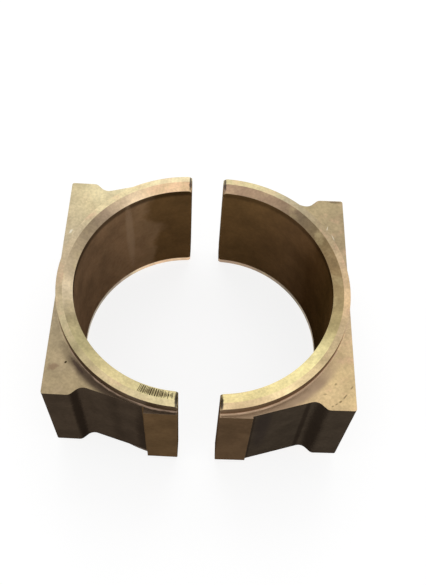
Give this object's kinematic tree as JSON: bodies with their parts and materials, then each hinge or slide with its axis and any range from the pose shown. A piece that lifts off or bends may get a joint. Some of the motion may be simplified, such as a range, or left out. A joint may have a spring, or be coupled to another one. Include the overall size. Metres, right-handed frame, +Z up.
{
  "type": "split plummer block bearing brasses",
  "caption": "Split bearing brasses for a plummer block: square-bodied bronze half shells with end collars, standing on end and drawn apart.",
  "frame": {"origin": "on the floor, under the middle of the pair", "axes": "+Z up, along both bores; +X from the left half to the right half, square to the right half's joint face; +Y along its joint"},
  "size_m": [0.1294, 0.1184, 0.064],
  "materials": {
    "left_bronze": "machined faces, dark as-cast flanks",
    "right_bronze": "machined faces, dark as-cast flanks"
  },
  "bodies": {
    "root": {"left_half_brass": "left_bronze", "right_half_brass": "right_bronze"}
  },
  "joints": []
}
